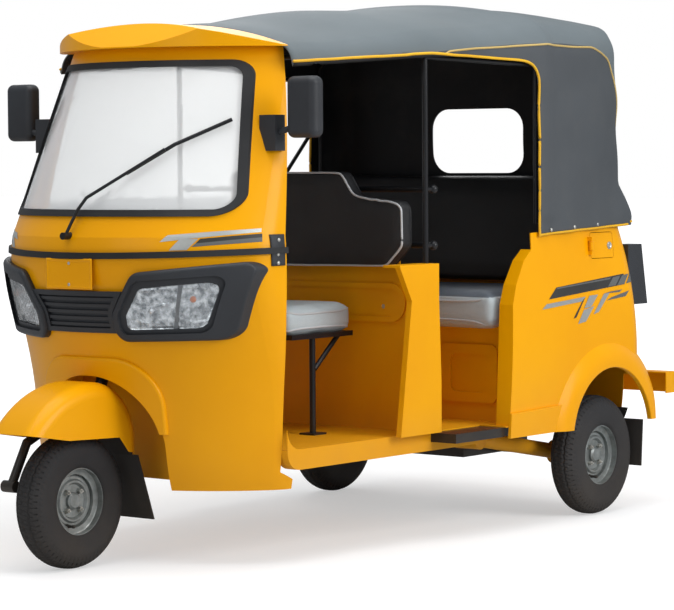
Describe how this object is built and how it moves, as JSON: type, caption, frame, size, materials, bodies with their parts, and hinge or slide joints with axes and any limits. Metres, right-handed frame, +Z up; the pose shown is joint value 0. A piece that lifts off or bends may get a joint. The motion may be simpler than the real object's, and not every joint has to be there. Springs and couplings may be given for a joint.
{
  "type": "auto rickshaw",
  "caption": "Three-wheeled passenger auto rickshaw with a steel cab, vinyl canopy, bench seats, a steered front wheel and rear wheels on trailing arms.",
  "frame": {"origin": "centre of the ground footprint, on the ground between the wheels", "axes": "+Z up, +Y towards the rear, +X towards the vehicle's left side"},
  "size_m": [1.329, 2.6469, 1.7499],
  "materials": {
    "yellow_paint": "gloss amber-yellow enamel",
    "floor_paint": "satin amber-yellow enamel",
    "black_plastic": "satin black moulded plastic",
    "black_rubber": "matt black rubber",
    "clear_glass": "clear laminated glass",
    "lamp_lens": "clear lens over a bright reflector",
    "red_lens": "gloss red lens",
    "grey_vinyl": "matt grey coated canvas",
    "seat_vinyl": "grey vinyl, satin",
    "back_vinyl": "black vinyl, satin",
    "black_steel": "black chassis enamel",
    "yellow_steel": "amber-yellow enamel",
    "tyre": "black tyre rubber",
    "silver_rim": "silver wheel enamel"
  },
  "bodies": {
    "body": {"canopy_back": "grey_vinyl", "canopy_frame": "black_steel", "canopy_roof": "grey_vinyl", "canopy_side_left": "grey_vinyl", "canopy_side_right": "grey_vinyl", "chassis_frame": "black_steel", "dashboard": "black_plastic", "driver_backrest": "back_vinyl", "driver_cushion": "seat_vinyl", "driver_seat_frame": "black_steel", "engine_block": "black_steel", "floor_pan": "floor_paint", "front_cowl": "yellow_paint", "grille": "black_plastic", "half_shafts": "black_steel", "headlamps": "lamp_lens", "lamp_surrounds": "black_plastic", "mirrors": "black_plastic", "partition": "yellow_paint", "passenger_backrest": "back_vinyl", "passenger_cushion": "seat_vinyl", "quarter_left": "yellow_paint", "quarter_right": "yellow_paint", "rear_bumper": "yellow_paint", "rear_mudflaps": "black_rubber", "rear_panel": "yellow_paint", "roof_visor": "yellow_paint", "seat_box": "yellow_paint", "side_steps": "black_plastic", "steering_head": "black_steel", "tail_lamps": "red_lens", "trailing_arm_left": "yellow_steel", "trailing_arm_right": "yellow_steel", "waist_moulding": "black_plastic", "wheel_well": "yellow_paint", "windscreen_glass": "clear_glass", "windscreen_seal": "black_rubber", "wiper": "black_plastic"},
    "steering": {"handlebar": "black_steel", "front_fork": "black_steel", "front_mudguard": "yellow_paint", "front_mudflap": "black_rubber"},
    "front_wheel": {"front_tyre": "tyre", "front_rim": "silver_rim", "front_hub": "silver_rim"},
    "rear_wheel_left": {"rear_left_tyre": "tyre", "rear_left_rim": "silver_rim", "rear_left_hub": "silver_rim"},
    "rear_wheel_right": {"rear_right_tyre": "tyre", "rear_right_rim": "silver_rim", "rear_right_hub": "silver_rim"},
    "fuel_flap": {"fuel_flap": "yellow_paint"},
    "engine_lid": {"engine_lid": "yellow_paint"}
  },
  "joints": [
    {"name": "steer", "type": "hinge", "parent": "body", "child": "steering", "pos_m": [0, -1.04, 0.205], "axis": [0, 0.309, 0.9511], "range_deg": [-32, 32]},
    {"name": "front_wheel_spin", "type": "hinge", "parent": "steering", "child": "front_wheel", "pos_m": [0, -1.07, 0.205], "axis": [1, 0, 0], "continuous": true},
    {"name": "rear_wheel_left_spin", "type": "hinge", "parent": "body", "child": "rear_wheel_left", "pos_m": [0.57, 0.915, 0.205], "axis": [1, 0, 0], "continuous": true},
    {"name": "rear_wheel_right_spin", "type": "hinge", "parent": "body", "child": "rear_wheel_right", "pos_m": [-0.57, 0.915, 0.205], "axis": [1, 0, 0], "continuous": true},
    {"name": "fuel_flap_hinge", "type": "hinge", "parent": "body", "child": "fuel_flap", "pos_m": [0.634, 0.823, 0.928], "axis": [0, 0, 1], "range_deg": [-95, 0]},
    {"name": "engine_lid_hinge", "type": "hinge", "parent": "body", "child": "engine_lid", "pos_m": [0, 1.192, 0.858], "axis": [1, 0, 0], "range_deg": [0, 75]}
  ]
}
